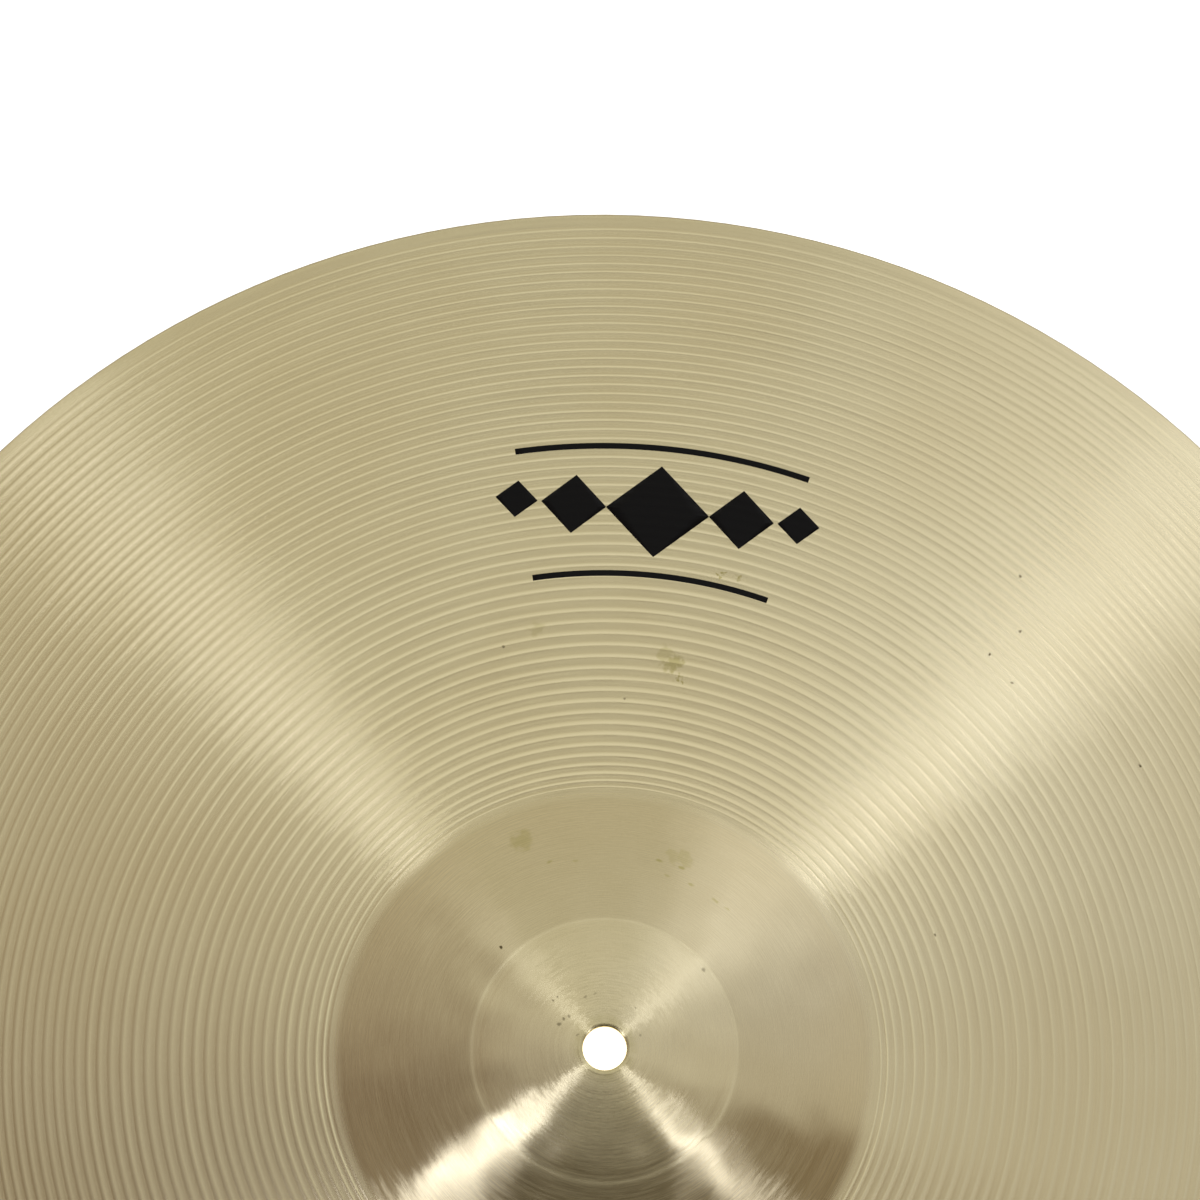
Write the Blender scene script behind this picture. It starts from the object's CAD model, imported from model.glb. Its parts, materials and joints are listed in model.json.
import json
import math
import random

import bpy
import numpy as np
from mathutils import Matrix, Vector, noise


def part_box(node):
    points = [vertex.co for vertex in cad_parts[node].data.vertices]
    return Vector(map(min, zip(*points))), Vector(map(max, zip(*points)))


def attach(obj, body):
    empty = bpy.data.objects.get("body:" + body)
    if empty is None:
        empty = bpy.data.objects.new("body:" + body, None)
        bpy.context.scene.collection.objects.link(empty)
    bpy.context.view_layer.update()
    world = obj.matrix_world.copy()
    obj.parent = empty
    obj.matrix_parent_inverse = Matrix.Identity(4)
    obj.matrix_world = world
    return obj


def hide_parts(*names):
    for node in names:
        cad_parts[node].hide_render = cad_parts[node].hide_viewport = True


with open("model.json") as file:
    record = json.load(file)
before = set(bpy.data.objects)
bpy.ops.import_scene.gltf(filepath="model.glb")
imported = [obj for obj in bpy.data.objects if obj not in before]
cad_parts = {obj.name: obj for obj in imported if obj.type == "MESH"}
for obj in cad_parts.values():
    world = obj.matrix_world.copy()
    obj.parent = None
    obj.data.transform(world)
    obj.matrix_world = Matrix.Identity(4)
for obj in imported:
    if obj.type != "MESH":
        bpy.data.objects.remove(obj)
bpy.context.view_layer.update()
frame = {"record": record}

# An 18 inch crash cymbal on a white table under two softboxes, seen from nearly straight above.
# Metres, in the frame of the CAD model: the origin is the centre of the rim, +Z the cymbal's axis.

MM = 0.001
SEED = 18

# ---- the cymbal's dimensions ---------------------------------------------------------------------
# They are the CAD model's, but the depths of the grooves and of the crown's step are fitted to how
# light and dark their flanks look.
RIM_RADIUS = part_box("cymbal_plate")[1][0]
HOLE_RADIUS = frame["record"]["mounts"][0]["dims"]["r_mm"] * MM
BELL_RADIUS = 68.3 * MM         # where bell and bow would meet without the blend between them
BELL_HEIGHT = 20.0 * MM
BOW_RISE = 27.0 * MM
BOW_RADIUS = 1800.0 * MM
BELL_BLEND_RADIUS = 9.0 * MM
CROWN_STEP_RADIUS = 34.0 * MM   # edge of the finely turned disc on the crown
CROWN_STEP_DEPTH = 0.07 * MM
CROWN_FLANK = 0.6 * MM          # width of the step from the disc up to the bell
BELL_THICKNESS = 1.25 * MM
RIM_THICKNESS = 0.85 * MM
RIM_ROUND = 0.25 * MM
RIM_BAND = 3.0 * MM             # plain band inside the rim
HOLE_CHAMFER = 0.15 * MM

# The lathe's feed, as (distance from the axis, groove pitch).
TOP_FEED = ((70, 1.3), (73, 2.2), (80, 2.8), (118, 3.2), (142, 2.7), (180, 2.45), (230, 2.35))
UNDER_FEED = ((68, 3.0), (120, 4.2), (230, 3.6))
CROWN_FEED = ((6, 0.6), (18, 0.8), (24, 1.15), (34, 1.15))
FEED_JITTER = 0.05              # the pitch varies by that share of itself, as it does by hand
CROWN_FEED_JITTER = 0.15
GROOVE_DEPTH = (0.07 * MM, 0.075 * MM)  # beside the bell and at the rim
DEPTH_SPREAD = (0.75, 1.25)             # each cut's depth lies between these shares of it
RIDGE_SHARE = (0.34, 0.26)              # ridge between two grooves, of the pitch, at bell and rim
FLANK_SHARE = 0.11                      # each flank of a groove, of the pitch
FLOOR_EDGE = 0.72                       # depth of a groove's floor at its edges, of the full depth
FADE = 1.0 * MM                         # over which the groove starts and ends
UNDER_START = 2.0 * MM                  # plain band under the foot of the bell
CROWN_GROOVE_DEPTH = 0.032 * MM
CROWN_DEPTH_SPREAD = (0.5, 1.4)
CROWN_START = 1.2 * MM                  # plain ring round the hole
CROWN_END = 2.3 * MM                    # from the last even groove to the step
EDGE_PITCH = 1.1 * MM                   # two grooves of twice the depth just inside the step
EDGE_GROOVE_DEPTH = 2 * CROWN_GROOVE_DEPTH
EDGE_LIP = 0.12 * EDGE_PITCH            # plain lip between the last of them and the step

# The surface isn't even: (depth, size across) of the pressed bell's dents and of the plate's waves.
DENTS = (0.16 * MM, 9 * MM)
WAVES = (0.05 * MM, 45 * MM)
DENTS_END = (55 * MM, 80 * MM)          # the dents fade out between these distances from the axis
DENTS_START = 25 * MM                   # and grow from the hole out to this one
DENT_LAYER, WAVE_LAYER = 3.7, 9.1       # where in the noise each is taken from

# How directional the lathe left the metal: 1 where its fine lines are strongest, 0 where there are
# none.
RIDGE_TURNED = 0.0
FLOOR_TURNED = 0.85
CROWN_TURNED = (0.78, 1.0)      # between two fine grooves, and in them
BELL_TURNED = 0.96
UNDER_TURNED = (0.3, 1.0)       # on the crests under the bow, and in the grooves between them

# How fine the mesh is.
SEGMENTS = 180                  # round the cymbal
BELL_RINGS, BLEND_RINGS = 16, 7
UNDER_BELL_RINGS, UNDER_BLEND_RINGS = 17, 5
RIM_RINGS = 4                   # in each quarter turn round the rim's edge


# ---- cross-section helpers -----------------------------------------------------------------------
def circle_through(p, q, radius):
    """Centre of the circle of that radius through p and q that lies below them."""
    mid = ((p[0] + q[0]) / 2, (p[1] + q[1]) / 2)
    half = math.dist(p, q) / 2
    along = ((q[0] - p[0]) / (2 * half), (q[1] - p[1]) / (2 * half))
    drop = math.sqrt(radius**2 - half**2)
    return (mid[0] + along[1] * drop, mid[1] - along[0] * drop)


def circles_meet(c, rc, d, rd):
    """Where the circles about c and d meet, on the side away from the axis."""
    gap = math.dist(c, d)
    along = (gap**2 + rc**2 - rd**2) / (2 * gap)
    across = math.sqrt(rc**2 - along**2)
    ux, uz = (d[0] - c[0]) / gap, (d[1] - c[1]) / gap
    first = (c[0] + ux * along - uz * across, c[1] + uz * along + ux * across)
    second = (c[0] + ux * along + uz * across, c[1] + uz * along - ux * across)
    return max(first, second)


def towards(p, q, distance):
    """The point that far from p on the way to q."""
    share = distance / math.dist(p, q)
    return (p[0] + (q[0] - p[0]) * share, p[1] + (q[1] - p[1]) * share)


def between(pair, radius):
    """A value that changes evenly from pair[0] at the bell to pair[1] at the rim."""
    share = (radius - BELL_RADIUS) / (RIM_RADIUS - BELL_RADIUS)
    return pair[0] + (pair[1] - pair[0]) * share


RIM_TOP = (RIM_RADIUS, RIM_THICKNESS)
BELL_FOOT = (BELL_RADIUS, RIM_THICKNESS + BOW_RISE)
BOW_CENTRE = circle_through(BELL_FOOT, RIM_TOP, BOW_RADIUS)
BELL_SPHERE = (BELL_RADIUS**2 + BELL_HEIGHT**2) / (2 * BELL_HEIGHT)
BELL_CENTRE = (0.0, BELL_FOOT[1] + BELL_HEIGHT - BELL_SPHERE)
BLEND_CENTRE = circles_meet(
    BELL_CENTRE, BELL_SPHERE + BELL_BLEND_RADIUS, BOW_CENTRE, BOW_RADIUS + BELL_BLEND_RADIUS
)
BLEND_START = towards(BELL_CENTRE, BLEND_CENTRE, BELL_SPHERE)
BLEND_END = towards(BOW_CENTRE, BLEND_CENTRE, BOW_RADIUS)


def smooth_top(radius):
    """Height of the top face before the lathe, and its slope, that far from the axis."""
    if radius <= BLEND_START[0]:
        rise = math.sqrt(BELL_SPHERE**2 - radius**2)
        return BELL_CENTRE[1] + rise, -radius / rise
    if radius < BLEND_END[0]:
        reach = radius - BLEND_CENTRE[0]
        drop = math.sqrt(BELL_BLEND_RADIUS**2 - reach**2)
        return BLEND_CENTRE[1] - drop, reach / drop
    reach = radius - BOW_CENTRE[0]
    rise = math.sqrt(BOW_RADIUS**2 - reach**2)
    return BOW_CENTRE[1] + rise, -reach / rise


def thickness(radius):
    return between((BELL_THICKNESS, RIM_THICKNESS), max(radius, BELL_RADIUS))


def cut_starts(feed, first, last, jitter, rng):
    """Where each cut of the lathe starts, with a pitch that varies a little as by hand."""
    places = [place * MM for place, _ in feed]
    pitches = [pitch * MM for _, pitch in feed]
    starts = [first]
    while True:
        pitch = np.interp(starts[-1], places, pitches) * (1 + rng.uniform(-jitter, jitter))
        if starts[-1] + pitch > last:
            return starts
        starts.append(starts[-1] + pitch)


# A ring of the mesh that is a plain circle is (distance from the axis, depth below the smooth
# face, how directional the lathe left the metal there).
def crown_rings(rng):
    """Fine turned grooves from the hole to the step, deeper just inside the step."""
    rings = []
    step = CROWN_STEP_RADIUS
    first, last = HOLE_RADIUS + CROWN_START, step - CROWN_END
    starts = cut_starts(CROWN_FEED, first, last, CROWN_FEED_JITTER, rng)
    for start, stop in zip(starts, starts[1:]):
        depth = CROWN_GROOVE_DEPTH * rng.uniform(*CROWN_DEPTH_SPREAD)
        rings += [(start, 0.0, CROWN_TURNED[0]), ((start + stop) / 2, depth, CROWN_TURNED[1])]
    for cut in (2, 1):
        rings.append((step - cut * EDGE_PITCH, 0.0, CROWN_TURNED[0]))
        rings.append((step - (cut - 0.5) * EDGE_PITCH, EDGE_GROOVE_DEPTH, CROWN_TURNED[1]))
    rings.append((step - EDGE_LIP, 0.0, CROWN_TURNED[0]))
    rings = [(radius, depth + CROWN_STEP_DEPTH, turned) for radius, depth, turned in rings]
    return rings + [(step + CROWN_FLANK, 0.0, BELL_TURNED)]


def under_rings(rng):
    """Plain touching V grooves under the bow."""
    rings = []
    first, last = BLEND_END[0] + UNDER_START, RIM_RADIUS - RIM_BAND
    starts = cut_starts(UNDER_FEED, first, last, FEED_JITTER, rng)
    for start, stop in zip(starts, starts[1:]):
        depth = between(GROOVE_DEPTH, start) * rng.uniform(*DEPTH_SPREAD)
        rings += [(start, 0.0, UNDER_TURNED[0]), ((start + stop) / 2, depth, UNDER_TURNED[1])]
    return rings + [(starts[-1], 0.0, UNDER_TURNED[0])]


def dome_rings(start, bell_rings, blend_rings):
    """Smooth rings from start over the bell and the blend to the bow."""
    radii = np.linspace(start, BLEND_START[0], bell_rings).tolist()
    radii += np.linspace(BLEND_START[0], BLEND_END[0], blend_rings).tolist()[1:]
    return [(radius, 0.0, BELL_TURNED) for radius in radii]


RNG = random.Random(SEED)
CIRCLES = crown_rings(RNG)
CIRCLES += dome_rings(CROWN_STEP_RADIUS + 2 * CROWN_FLANK, BELL_RINGS, BLEND_RINGS)

# The bow's groove is one long spiral that comes a pitch nearer the axis in each turn. Along the ray
# from the axis to +X its turns start at SPIRAL, the distances for the turns 0, 1, 2 and so on.
SPIRAL = cut_starts(TOP_FEED, BLEND_END[0], RIM_RADIUS - RIM_BAND, FEED_JITTER, RNG)
SPIRAL_DEPTHS = [between(GROOVE_DEPTH, start) * RNG.uniform(*DEPTH_SPREAD) for start in SPIRAL]
TURNS = range(len(SPIRAL))


def groove_profile(radius):
    """One pitch of the groove: (share of the pitch, share of the depth, how much it was turned)."""
    ridge = 1 - between(RIDGE_SHARE, radius)
    return (
        (0.0, 0.0, RIDGE_TURNED),
        (FLANK_SHARE, FLOOR_EDGE, 1.0),
        (ridge / 2, 1.0, FLOOR_TURNED),
        (ridge - FLANK_SHARE, FLOOR_EDGE, 1.0),
        (ridge, 0.0, RIDGE_TURNED),
    )


PROFILE_RINGS = len(groove_profile(BELL_RADIUS))


def spiral_depth(radius, turn):
    """Depth of the groove on that turn, fading out where the spiral starts and ends."""
    depth = float(np.interp(turn, TURNS, SPIRAL_DEPTHS))
    inside = min((radius - SPIRAL[0]) / FADE, (SPIRAL[-1] - radius) / FADE, 1.0)
    return depth * max(inside, 0.0)


def bow_ring(turn, number, angle):
    """(radius, depth, turned) of one ring of the groove's mesh, on that turn and at that angle."""
    here = turn - angle / (2 * math.pi)
    start = float(np.interp(here, TURNS, SPIRAL))
    share, deep, turned = groove_profile(start)[number]
    radius = float(np.interp(here + share, TURNS, SPIRAL))
    return radius, deep * spiral_depth(radius, here), turned


def top_depth(x, y):
    """Depth of the groove in the bow's top face at a point seen from above."""
    radius, angle = math.hypot(x, y), math.atan2(y, x) % (2 * math.pi)
    along = float(np.interp(radius, SPIRAL, TURNS)) + angle / (2 * math.pi)
    turn = math.floor(along)
    profile = groove_profile(radius)
    shares = [share for share, _, _ in profile] + [1.0]
    depths = [deep for _, deep, _ in profile] + [0.0]
    deep = float(np.interp(along - turn, shares, depths))
    return deep * spiral_depth(radius, turn - angle / (2 * math.pi))


def unevenness(x, y):
    """Small dents and hammer marks, deeper on the pressed bell than on the bow."""
    radius = math.hypot(x, y)
    fade = (radius - DENTS_END[0]) / (DENTS_END[1] - DENTS_END[0])
    on_bell = (1 - min(max(fade, 0), 1)) * min(radius / DENTS_START, 1)
    total = 0.0
    for layer, (depth, size), share in ((DENT_LAYER, DENTS, on_bell), (WAVE_LAYER, WAVES, 1)):
        total += depth * share * noise.noise(Vector((x / size, y / size, layer)))
    return total


# ---- meshes --------------------------------------------------------------------------------------
def new_object(name, vertices, faces):
    mesh = bpy.data.meshes.new(name)
    mesh.from_pydata(vertices, [], faces)
    mesh.shade_smooth()
    mesh.update()
    obj = bpy.data.objects.new(name, mesh)
    bpy.context.scene.collection.objects.link(obj)
    return obj


def below(radius, depth):
    """The point that deep under the smooth top face, measured square to it."""
    height, slope = smooth_top(radius)
    tilt = math.atan(slope)
    return radius + depth * math.sin(tilt), height - depth * math.cos(tilt)


def rounded(centre_height, first, last):
    """A quarter turn round the rim's edge, from the first angle to the last, in degrees."""
    points = []
    for angle in np.radians(np.linspace(first, last, RIM_RINGS)).tolist():
        outward = RIM_RADIUS - RIM_ROUND + RIM_ROUND * math.cos(angle)
        points.append((outward, centre_height + RIM_ROUND * math.sin(angle), 1.0))
    return points


def circles_before():
    """The plate's cross-section from the hole over the bell to the foot of the bell."""
    crown = smooth_top(HOLE_RADIUS + HOLE_CHAMFER)[0] - CROWN_STEP_DEPTH
    edge = [(HOLE_RADIUS, crown - HOLE_CHAMFER, 1.0), (HOLE_RADIUS + HOLE_CHAMFER, crown, 1.0)]
    return edge + [(*below(radius, depth), turned) for radius, depth, turned in CIRCLES]


def circles_after():
    """The cross-section from the last groove round the rim and back under it to the hole."""
    band = (SPIRAL[-1], SPIRAL[-1] + RIM_ROUND, RIM_RADIUS - 2 * RIM_ROUND)
    outline = [(*below(radius, 0.0), 1.0) for radius in band]
    outline += rounded(RIM_THICKNESS - RIM_ROUND, 90, 0)
    outline += rounded(RIM_ROUND, 0, -90)
    dome = dome_rings(HOLE_RADIUS + HOLE_CHAMFER, UNDER_BELL_RINGS, UNDER_BLEND_RINGS)
    for radius, depth, turned in reversed(dome + under_rings(RNG)):
        outline.append((*below(radius, thickness(radius) - depth), turned))
    outline.append((HOLE_RADIUS, outline[-1][1] + HOLE_CHAMFER, 1.0))
    return outline


def make_cymbal():
    """The plate: its cross-section turned about the axis, with the bow's spiral groove between."""
    before, after = circles_before(), circles_after()
    vertices, turned, corners = [], [], []

    def place(angle, radius, height, how_turned):
        x, y = radius * math.cos(angle), radius * math.sin(angle)
        vertices.append((x, y, height + unevenness(x, y)))
        turned.append(how_turned)
        return len(vertices) - 1

    for segment in range(SEGMENTS):
        angle = 2 * math.pi * segment / SEGMENTS
        inner = [place(angle, *point) for point in before]
        outer = [place(angle, *point) for point in after]
        spiral = []
        for turn in TURNS:
            for number in range(PROFILE_RINGS):
                radius, depth, how_turned = bow_ring(turn, number, angle)
                if radius <= SPIRAL[0]:
                    spiral.append(inner[-1])
                elif radius >= SPIRAL[-1]:
                    spiral.append(outer[0])
                else:
                    spiral.append(place(angle, *below(radius, depth), how_turned))
        corners.append(inner + spiral + outer)

    # After a whole turn each ring of the spiral has come in by one pitch.
    inner, outer = corners[0][: len(before)], corners[0][-len(after):]
    spiral = corners[0][len(before): -len(after) - PROFILE_RINGS]
    corners.append(inner + [inner[-1]] * PROFILE_RINGS + spiral + outer)
    faces = []
    for here, there in zip(corners, corners[1:]):
        for ring in range(len(here)):
            around = (there[ring - 1], there[ring], here[ring], here[ring - 1])
            face = [corner for k, corner in enumerate(around) if corner != around[k - 1]]
            if len(face) >= 3:
                faces.append(face)
    obj = new_object("cymbal", vertices, faces)
    obj.data.attributes.new("turned", "FLOAT", "POINT").data.foreach_set("value", turned)
    return obj


# ---- shader helpers ------------------------------------------------------------------------------
def add(tree, kind, inputs=None, **settings):
    """A node. inputs gives its sockets a value, or another node's output to follow."""
    node = tree.nodes.new(kind)
    for name, value in settings.items():
        setattr(node, name, value)
    for socket, value in (inputs or {}).items():
        if isinstance(value, bpy.types.NodeSocket):
            tree.links.new(value, node.inputs[socket])
        else:
            node.inputs[socket].default_value = value
    return node


def maths(tree, operation, a, b=0.0, c=0.0):
    return add(tree, "ShaderNodeMath", {0: a, 1: b, 2: c}, operation=operation).outputs[0]


def vector_maths(tree, operation, a, b=(0.0, 0.0, 0.0), c=(0.0, 0.0, 0.0), output="Vector"):
    node = add(tree, "ShaderNodeVectorMath", {0: a, 1: b, 2: c}, operation=operation)
    return node.outputs[output]


def cloudy(tree, where, scale, detail, output="Fac", **inputs):
    """Noise with that many features to each unit of the place."""
    inputs = {"Vector": where, "Scale": scale, "Detail": detail, **inputs}
    return add(tree, "ShaderNodeTexNoise", inputs).outputs[output]


def ramp(tree, value, low, high, start=0.0, stop=1.0):
    """value taken smoothly from the range low..high to start..stop."""
    inputs = {"Value": value, "From Min": low, "From Max": high, "To Min": start, "To Max": stop}
    node = add(tree, "ShaderNodeMapRange", inputs, interpolation_type="SMOOTHSTEP")
    return node.outputs["Result"]


def mix(tree, factor, a, b, blend_type="MIX"):
    inputs = {"Factor": factor, 6: a, 7: b}
    return add(tree, "ShaderNodeMix", inputs, data_type="RGBA", blend_type=blend_type).outputs[2]


def new_material(name):
    material = bpy.data.materials.new(name)
    material.use_nodes = True
    tree = material.node_tree
    return material, tree, tree.nodes["Principled BSDF"]


# ---- materials -----------------------------------------------------------------------------------
BRONZE = (0.88, 0.775, 0.48, 1)
WARM_BRONZE = (0.85, 0.735, 0.44, 1)
TARNISH = (0.56, 0.485, 0.19, 1)
SMUT = (0.13, 0.10, 0.045, 1)
BELL_TONE = (0.90, 0.89, 0.88, 1)       # the bell outside the crown's disc, a little duller

# Marks left by fingers and by use, as (x, y, radius, how strong), in millimetres from the axis.
STAINS = (
    (-23.3, 54.8, 3.8, 0.55),
    (15.5, 52.0, 2.4, 0.35),
    (18.8, 51.4, 2.8, 0.40),
    (11.6, 106.6, 2.8, 0.40),
    (13.6, 104.4, 3.0, 0.70),
    (15.9, 100.2, 1.2, 0.90),
    (-22.0, 112.5, 2.4, 0.30),
    (25.3, 129.1, 1.0, 0.80),
    (29.7, 128.3, 1.3, 0.70),
    (0.0, 0.0, 9.5, 0.45),
)
# Scuffs, likewise, that are drawn out along the turning.
SCUFFS = (
    (-16.0, 49.0, 0.45, 0.7),
    (-9.5, 49.5, 0.40, 0.5),
    (12.0, 50.5, 0.45, 0.8),
    (18.0, 49.0, 0.50, 0.9),
    (14.5, 46.5, 0.40, 0.6),
    (20.5, 44.5, 0.45, 0.7),
    (27.0, 40.5, 0.50, 0.7),
    (30.0, 38.5, 0.40, 0.6),
)
SPECKS = (
    (-27.5, 25.5, 0.55, 1.0),
    (-13.6, 12.0, 0.60, 0.8),
    (-12.7, 12.9, 0.40, 0.7),
    (-11.8, 5.6, 0.80, 0.6),
    (-10.6, 6.9, 0.60, 0.6),
    (-9.4, 8.0, 0.50, 0.5),
    (-7.0, 3.2, 0.60, 0.4),
    (-5.5, 13.2, 0.50, 0.4),
    (-3.0, 13.8, 0.40, 0.3),
    (7.3, 10.8, 0.45, 0.4),
    (8.9, 4.1, 0.50, 0.4),
    (24.6, 21.8, 0.70, 0.5),
    (96.3, 111.5, 0.60, 0.9),
    (103.7, 133.2, 0.60, 0.7),
    (104.1, 118.3, 0.55, 0.7),
    (102.3, 104.0, 0.50, 0.6),
    (136.3, 84.2, 0.50, 0.9),
    (84.0, 35.8, 0.50, 0.7),
    (-30.4, 107.5, 0.60, 0.6),
    (1.8, 94.7, 0.50, 0.5),
)
SCUFF_REACH = 18.0      # mm; the less, the further a scuff reaches round
# How far the edges of each kind of mark stray, in mm, and the share of the radius at full strength.
STAIN_EDGE = (6.0, 0.45)
SCUFF_EDGE = (1.0, 0.4)
SPECK_EDGE = (1.6, 0.4)
RAGGEDNESS = 0.45           # wiggles of those edges to the mm
HOLE_SMUT, RIM_SMUT = 0.35, 0.6     # how dark the metal gets at the edge of the hole and of the rim
CLOUDS = 14.0               # changes of tone to the metre

# The lathe's fine lines, as (lines per mm outwards, how much they change round the cymbal, detail).
FINE = (2.2, 3.0, 2.0)
SCRATCHES = (4.5, 8.0, 2.0)
HAIRS = (1.3, 7.0, 1.0)

LATHED_ROUGHNESS = (0.305, 0.25)    # on the bell and on the bow
LATHED_ANISOTROPY = (0.69, 0.85)    # likewise
HATCHING = (3.5 / 360, 1.2 / 360)   # how far the fine lines stray from circles, in turns, likewise
ROUGHNESS_SPREAD = 0.02
POLISHED_ROUGHNESS = 0.19
SCRATCH_DEPTH = 0.015 * MM
SCRATCH_STRENGTH = 0.2
SCRATCHES_SHARE = 0.6               # how much the scratches add to the fine lines' relief


def lathed_bronze():
    """Bright bronze with two finishes: the lathe's fine lines, and plain polish on the ridges."""
    material, tree, polished = new_material("lathed_bronze")
    coordinates = add(tree, "ShaderNodeTexCoord").outputs
    place = coordinates["Object"]
    facing = add(tree, "ShaderNodeSeparateXYZ", {0: coordinates["Normal"]}).outputs["Z"]
    upper_face = maths(tree, "GREATER_THAN", facing, 0.0)
    parts = add(tree, "ShaderNodeSeparateXYZ", {0: place}).outputs
    flat = add(tree, "ShaderNodeCombineXYZ", {"X": parts["X"], "Y": parts["Y"]}).outputs[0]
    radius = vector_maths(tree, "LENGTH", flat, output="Value")
    heading = vector_maths(tree, "NORMALIZE", flat)
    upright = add(tree, "ShaderNodeCombineXYZ", {"Z": radius}).outputs[0]

    def round_the_axis(reach, outward):
        """A place for rings of texture: the bearing times reach, the radius times outward."""
        rings = vector_maths(tree, "MULTIPLY", upright, (outward,) * 3)
        return vector_maths(tree, "MULTIPLY_ADD", heading, (reach,) * 3, rings)

    def lines(per_mm, changes, detail):
        """Noise drawn out along the turning, as the lathe's fine lines are."""
        where = round_the_axis(changes, per_mm / MM)
        return cloudy(tree, where, 1.0, detail, Roughness=0.55)

    wander = cloudy(tree, place, RAGGEDNESS / MM, 2.0, output="Color")
    ragged = vector_maths(tree, "SUBTRACT", wander, (0.5, 0.5, 0.5))

    def marks(where, table, edge):
        """1 inside the marks of the table, 0 outside, with soft and ragged edges."""
        stray, soft = edge
        where = vector_maths(tree, "MULTIPLY_ADD", ragged, (stray * MM,) * 3, where)
        total = 0.0
        for centre, size, strength in table:
            away = vector_maths(tree, "DISTANCE", where, centre, output="Value")
            mark = ramp(tree, away, size * MM, size * soft * MM, 0.0, strength)
            total = maths(tree, "MAXIMUM", mark, total)
        return maths(tree, "MULTIPLY", total, upper_face)

    def on_the_flat(table):
        """The table's marks in metres, as seen from above."""
        return [((x * MM, y * MM, 0.0), size, strength) for x, y, size, strength in table]

    fine, scratches, hairs = lines(*FINE), lines(*SCRATCHES), lines(*HAIRS)
    cloud = cloudy(tree, place, CLOUDS, 3.0, Roughness=0.5)
    colour = mix(tree, ramp(tree, cloud, 0.35, 0.7), BRONZE, WARM_BRONZE)
    on_bow = ramp(tree, radius, BLEND_START[0], BLEND_END[0])

    def from_bell_to_bow(pair):
        return maths(tree, "MULTIPLY_ADD", on_bow, pair[1] - pair[0], pair[0])

    past_crown = ramp(tree, radius, CROWN_STEP_RADIUS, CROWN_STEP_RADIUS + CROWN_FLANK)
    on_bell = maths(tree, "SUBTRACT", past_crown, on_bow)
    colour = mix(tree, on_bell, colour, mix(tree, 1.0, colour, BELL_TONE, "MULTIPLY"))
    along = round_the_axis(SCUFF_REACH * MM, 1.0)
    scuffs = []
    for x, y, size, strength in SCUFFS:
        reach = SCUFF_REACH * MM / math.hypot(x, y)
        scuffs.append(((x * reach, y * reach, math.hypot(x, y) * MM), size, strength))
    colour = mix(tree, marks(flat, on_the_flat(STAINS), STAIN_EDGE), colour, TARNISH)
    colour = mix(tree, marks(along, scuffs, SCUFF_EDGE), colour, TARNISH)
    colour = mix(tree, marks(flat, on_the_flat(SPECKS), SPECK_EDGE), colour, SMUT)
    hole_edge = ramp(tree, radius, HOLE_RADIUS, HOLE_RADIUS + HOLE_CHAMFER, HOLE_SMUT, 0.0)
    rim_edge = ramp(tree, radius, RIM_RADIUS - 2 * RIM_ROUND, RIM_RADIUS, 0.0, RIM_SMUT)
    colour = mix(tree, maths(tree, "MAXIMUM", hole_edge, rim_edge), colour, SMUT)
    bump = add(tree, "ShaderNodeBump", {
        "Height": maths(tree, "MULTIPLY_ADD", scratches, SCRATCHES_SHARE, fine),
        "Strength": SCRATCH_STRENGTH,
        "Distance": SCRATCH_DEPTH,
    }).outputs["Normal"]
    tangent = add(tree, "ShaderNodeTangent", direction_type="RADIAL", axis="Z").outputs["Tangent"]
    uneven = ramp(tree, fine, 0.3, 0.7, -ROUGHNESS_SPREAD, ROUGHNESS_SPREAD)
    stray = ramp(tree, hairs, 0.3, 0.7, -1.0, 1.0)
    lathed = add(tree, "ShaderNodeBsdfAnisotropic", {
        "Color": colour,
        "Roughness": maths(tree, "ADD", from_bell_to_bow(LATHED_ROUGHNESS), uneven),
        "Anisotropy": from_bell_to_bow(LATHED_ANISOTROPY),
        "Rotation": maths(tree, "MULTIPLY", from_bell_to_bow(HATCHING), stray),
        "Normal": bump,
        "Tangent": tangent,
    }, distribution="BECKMANN")
    tree.links.new(colour, polished.inputs["Base Color"])
    tree.links.new(bump, polished.inputs["Normal"])
    polished.inputs["Metallic"].default_value = 1.0
    polished.inputs["Roughness"].default_value = POLISHED_ROUGHNESS
    turned = add(tree, "ShaderNodeAttribute", attribute_name="turned").outputs["Fac"]
    share = maths(tree, "MULTIPLY", turned, ramp(tree, scratches, 0.35, 0.65, 0.75, 1.0))
    finishes = {0: share, 1: polished.outputs[0], 2: lathed.outputs[0]}
    both = add(tree, "ShaderNodeMixShader", finishes).outputs[0]
    tree.links.new(both, tree.nodes["Material Output"].inputs["Surface"])
    return material


INK = ((0.002, 0.002, 0.002, 1), (0.006, 0.005, 0.004, 1))
INK_GRAINS = 900.0                  # to the metre
INK_GRAIN_DEPTH = 0.01 * MM


def printing_ink():
    """Screen-printing ink: black, with a fine grain in its tone, gloss and surface."""
    material, tree, shader = new_material("printing_ink")
    place = add(tree, "ShaderNodeTexCoord").outputs["Object"]
    grain = cloudy(tree, place, INK_GRAINS, 3.0)
    black = mix(tree, grain, INK[0], INK[1])
    tree.links.new(black, shader.inputs["Base Color"])
    tree.links.new(maths(tree, "MULTIPLY_ADD", grain, 0.2, 0.38), shader.inputs["Roughness"])
    shader.inputs["Specular IOR Level"].default_value = 0.15
    relief = {"Height": grain, "Strength": 0.3, "Distance": INK_GRAIN_DEPTH}
    bump = add(tree, "ShaderNodeBump", relief).outputs["Normal"]
    tree.links.new(bump, shader.inputs["Normal"])
    return material


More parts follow.
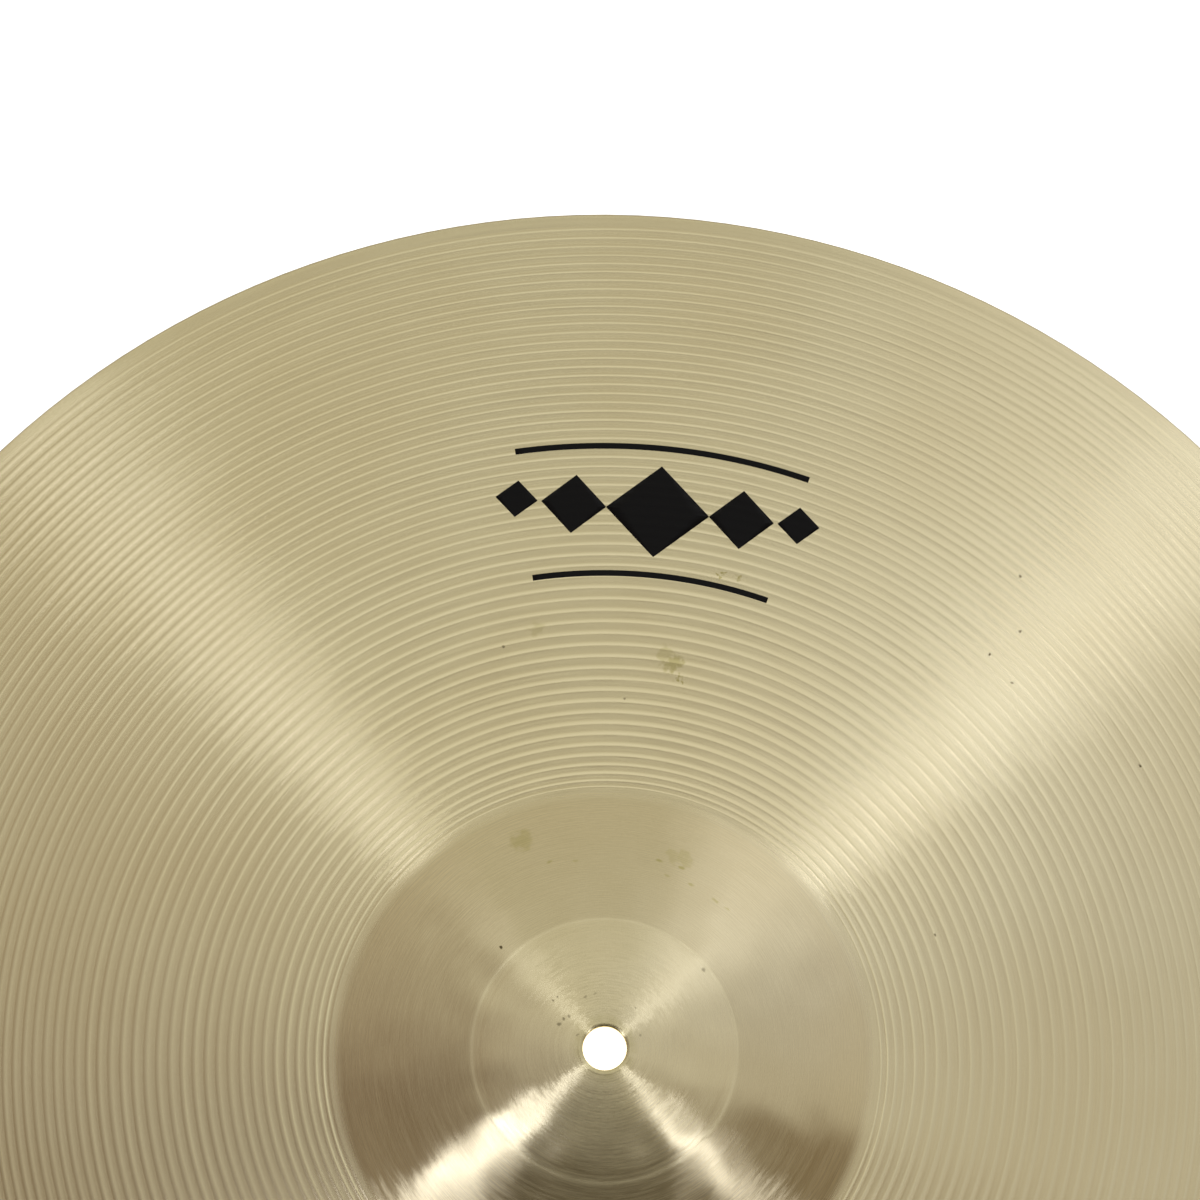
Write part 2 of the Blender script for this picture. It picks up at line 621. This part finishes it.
# ---- emblem --------------------------------------------------------------------------------------
INK_THICKNESS = 0.05 * MM
EMBLEM_RADIUS = 146.0 * MM
EMBLEM_BEARING = math.radians(86.7)
LOZENGES = ((0.0, 27.0, 25.0), (22.0, 17.0, 16.0), (37.0, 11.0, 10.0))  # mm: offset, width, height
RULES = ((17.5, 78.0), (-17.5, 62.0))                                   # mm: offset, length
RULE_THICKNESS = 1.6 * MM
INK_ROW = 0.15 * MM             # the ink's mesh is that fine across the grooves
BLUNT_TIP = INK_ROW / 4         # half the width of a lozenge's tips
LOZENGE_COLUMNS, RULE_COLUMNS = 6, 36


def top_height(x, y):
    radius = math.hypot(x, y)
    return smooth_top(radius)[0] - top_depth(x, y) + unevenness(x, y)


def lozenge(offset, width, height):
    """Points of a lozenge: across and outward run from 0 to 1 over it."""
    def point(across, outward):
        half = width / 2 * (1 - abs(2 * outward - 1)) + BLUNT_TIP
        side = offset + (2 * across - 1) * half
        distance = EMBLEM_RADIUS + (outward - 0.5) * height
        along, away = math.cos(EMBLEM_BEARING), math.sin(EMBLEM_BEARING)
        return distance * along + side * away, distance * away - side * along
    return point


def rule(offset, length):
    """Points of a rule that follows the rim's curve."""
    def point(across, outward):
        middle = EMBLEM_RADIUS + offset
        angle = EMBLEM_BEARING + (0.5 - across) * length / middle
        distance = middle + (outward - 0.5) * RULE_THICKNESS
        return distance * math.cos(angle), distance * math.sin(angle)
    return point


def print_on(vertices, faces, point, columns, rows):
    """A closed sheet of ink over the points of one shape, half sunk in the grooved face."""
    first = len(vertices)
    for side in (1, -1):
        for row in range(rows + 1):
            for column in range(columns + 1):
                x, y = point(column / columns, row / rows)
                vertices.append((x, y, top_height(x, y) + side * INK_THICKNESS))

    def corner(side, row, column):
        return first + (side * (rows + 1) + row) * (columns + 1) + column

    for row in range(rows):
        for column in range(columns):
            around = ((row, column), (row, column + 1), (row + 1, column + 1), (row + 1, column))
            faces.append([corner(0, *place) for place in around])
            faces.append([corner(1, *place) for place in reversed(around)])
    border = [(0, column) for column in range(columns)] + [(row, columns) for row in range(rows)]
    border += [(rows, column) for column in range(columns, 0, -1)]
    border += [(row, 0) for row in range(rows, 0, -1)]
    for here, there in zip(border, border[1:] + border[:1]):
        faces.append([corner(0, *there), corner(0, *here), corner(1, *here), corner(1, *there)])


def make_emblem():
    """A row of lozenges between two rules, printed over ridges and grooves alike."""
    vertices, faces = [], []
    for offset, width, height in LOZENGES:
        for side in (-1, 1) if offset else (1,):
            shape = lozenge(side * offset * MM, width * MM, height * MM)
            print_on(vertices, faces, shape, LOZENGE_COLUMNS, round(height * MM / INK_ROW))
    for offset, length in RULES:
        shape = rule(offset * MM, length * MM)
        print_on(vertices, faces, shape, RULE_COLUMNS, round(RULE_THICKNESS / INK_ROW))
    return new_object("emblem", vertices, faces)


def cover_with(obj, material):
    obj.data.materials.clear()
    obj.data.materials.append(material)


# ---- stage ---------------------------------------------------------------------------------------
CAMERA_TILT = math.radians(10.55)       # from straight down, towards -Y
CAMERA_ROLL = math.radians(2.27)
CAMERA_DISTANCE = 2.27
CAMERA_LENS, CAMERA_SENSOR = 259.35, 36.0   # mm
CAMERA_REACH = 50.0
CAMERA_AIM = Vector((-5.7 * MM, 124.8 * MM, 0.0))


def set_camera():
    camera = bpy.data.cameras.new("camera")
    camera.sensor_width = CAMERA_SENSOR
    camera.lens = CAMERA_LENS
    camera.clip_end = CAMERA_REACH
    obj = bpy.data.objects.new("camera", camera)
    bpy.context.scene.collection.objects.link(obj)
    turn = Matrix.Rotation(CAMERA_TILT, 4, "X") @ Matrix.Rotation(CAMERA_ROLL, 4, "Z")
    away = turn.to_3x3() @ Vector((0, 0, CAMERA_DISTANCE))
    obj.matrix_world = Matrix.Translation(CAMERA_AIM + away) @ turn
    bpy.context.scene.camera = obj


# Softboxes near the camera and windows on the far side, as
# (name, bearing and height in degrees, size, watts).
LIGHTS = (
    ("softbox_left", 212, 57, (0.17, 1.1), 1.9),
    ("softbox_right", -33, 62, (0.18, 0.65), 1.1),
    ("window_right", 54, 57, (0.15, 0.9), 0.13),
    ("window_left", 125, 57, (0.15, 0.9), 0.10),
)
LIGHT_DISTANCE = 1.7
LIGHT_COLOUR = (1.0, 1.05, 1.30)


def softbox(name, bearing, height, size, watts):
    light = bpy.data.lights.new(name, "AREA")
    light.shape = "RECTANGLE"
    light.size, light.size_y = size
    light.energy = watts
    light.color = LIGHT_COLOUR
    obj = bpy.data.objects.new(name, light)
    bpy.context.scene.collection.objects.link(obj)
    turn, lift = math.radians(bearing), math.radians(height)
    out, up = math.cos(lift), math.sin(lift)
    obj.location = Vector((out * math.cos(turn), out * math.sin(turn), up)) * LIGHT_DISTANCE
    obj.rotation_euler = obj.location.to_track_quat("Z", "Y").to_euler()
    obj.visible_camera = False


FLOOR_HALF = 6.0                # half the floor's side
FLOOR_HEIGHT = -0.02 * MM       # just clear of the rim
FLOOR_GLOW = 0.95               # brings it up to the white of a lit table
SQUARE = ((-1, -1), (1, -1), (1, 1), (-1, 1))


def set_floor():
    corners = [(side * FLOOR_HALF, end * FLOOR_HALF, FLOOR_HEIGHT) for side, end in SQUARE]
    floor = new_object("floor", corners, [(0, 1, 2, 3)])
    material, _, shader = new_material("white_table")
    shader.inputs["Base Color"].default_value = (0.85, 0.85, 0.85, 1)
    shader.inputs["Roughness"].default_value = 0.9
    shader.inputs["Emission Color"].default_value = (1, 1, 1, 1)
    shader.inputs["Emission Strength"].default_value = FLOOR_GLOW
    cover_with(floor, material)


# The studio round the table: for each bearing (degrees from +X towards +Y) the light that comes
# from low on the walls, from higher up them, and from the ceiling.
STUDIO = (
    (-180, (0.22, 0.17, 0.14), (0.22, 0.17, 0.14), (0.23, 0.20, 0.175)),
    (-150, (0.30, 0.26, 0.22), (0.18, 0.13, 0.09), (0.18, 0.14, 0.10)),
    (-125, (0.36, 0.335, 0.29), (0.04, 0.025, 0.01), (0.06, 0.045, 0.025)),
    (-60, (0.36, 0.335, 0.29), (0.04, 0.025, 0.01), (0.06, 0.045, 0.025)),
    (-30, (0.26, 0.22, 0.18), (0.15, 0.11, 0.06), (0.26, 0.22, 0.16)),
    (-10, (0.20, 0.15, 0.10), (0.20, 0.15, 0.10), (0.40, 0.37, 0.33)),
    (-2, (0.52, 0.49, 0.46), (0.52, 0.49, 0.46), (0.55, 0.54, 0.54)),
    (30, (0.56, 0.55, 0.58), (0.56, 0.55, 0.58), (0.54, 0.54, 0.56)),
    (60, (0.84, 0.85, 0.92), (0.84, 0.85, 0.92), (0.74, 0.75, 0.77)),
    (80, (0.52, 0.51, 0.47), (0.52, 0.51, 0.47), (0.80, 0.80, 0.80)),
    (120, (0.50, 0.48, 0.42), (0.50, 0.48, 0.42), (0.75, 0.75, 0.71)),
    (140, (0.43, 0.39, 0.34), (0.43, 0.39, 0.34), (0.48, 0.46, 0.44)),
    (165, (0.34, 0.29, 0.25), (0.34, 0.29, 0.25), (0.38, 0.345, 0.33)),
    (179.9, (0.22, 0.17, 0.14), (0.22, 0.17, 0.14), (0.23, 0.20, 0.175)),
)
LOW_WALLS = (24, 34)            # degrees above the floor: low walls below, high walls above
CEILING = (50, 75)              # high walls below, ceiling above


def set_world():
    """Pale walls on the far side and the right, a darker room on the near side and the left."""
    world = bpy.data.worlds.new("studio")
    world.use_nodes = True
    tree = world.node_tree
    heading = add(tree, "ShaderNodeTexCoord").outputs["Generated"]
    around = add(tree, "ShaderNodeTexGradient", {"Vector": heading}, gradient_type="RADIAL")
    upward = add(tree, "ShaderNodeSeparateXYZ", {0: heading}).outputs["Z"]

    def ring_of_light(column):
        """One column of the studio's table, run round the horizon."""
        node = add(tree, "ShaderNodeValToRGB", {"Fac": around.outputs["Fac"]})
        stops = node.color_ramp.elements
        while len(stops) < len(STUDIO):
            stops.new(0.5)
        for stop, row in zip(stops, STUDIO):
            stop.position = row[0] / 360 + 0.5
            stop.color = (*row[column], 1)
        return node.outputs["Color"]

    def above(heights):
        """0 below the first height and 1 above the second, in degrees."""
        low, high = np.sin(np.radians(heights))
        return ramp(tree, upward, float(low), float(high))

    room = mix(tree, above(LOW_WALLS), ring_of_light(1), ring_of_light(2))
    room = mix(tree, above(CEILING), room, ring_of_light(3))
    backdrop = add(tree, "ShaderNodeLightPath").outputs["Is Camera Ray"]
    seen = mix(tree, backdrop, room, (1, 1, 1, 1))
    tree.links.new(seen, tree.nodes["Background"].inputs["Color"])
    bpy.context.scene.world = world


bpy.context.scene.view_settings.view_transform = "Standard"
set_camera()
set_world()
set_floor()
for light in LIGHTS:
    softbox(*light)

cymbal = make_cymbal()
cover_with(cymbal, lathed_bronze())
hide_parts("cymbal_plate")
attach(cymbal, "root")

emblem = make_emblem()
cover_with(emblem, printing_ink())
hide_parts("printed_emblem")
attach(emblem, "root")
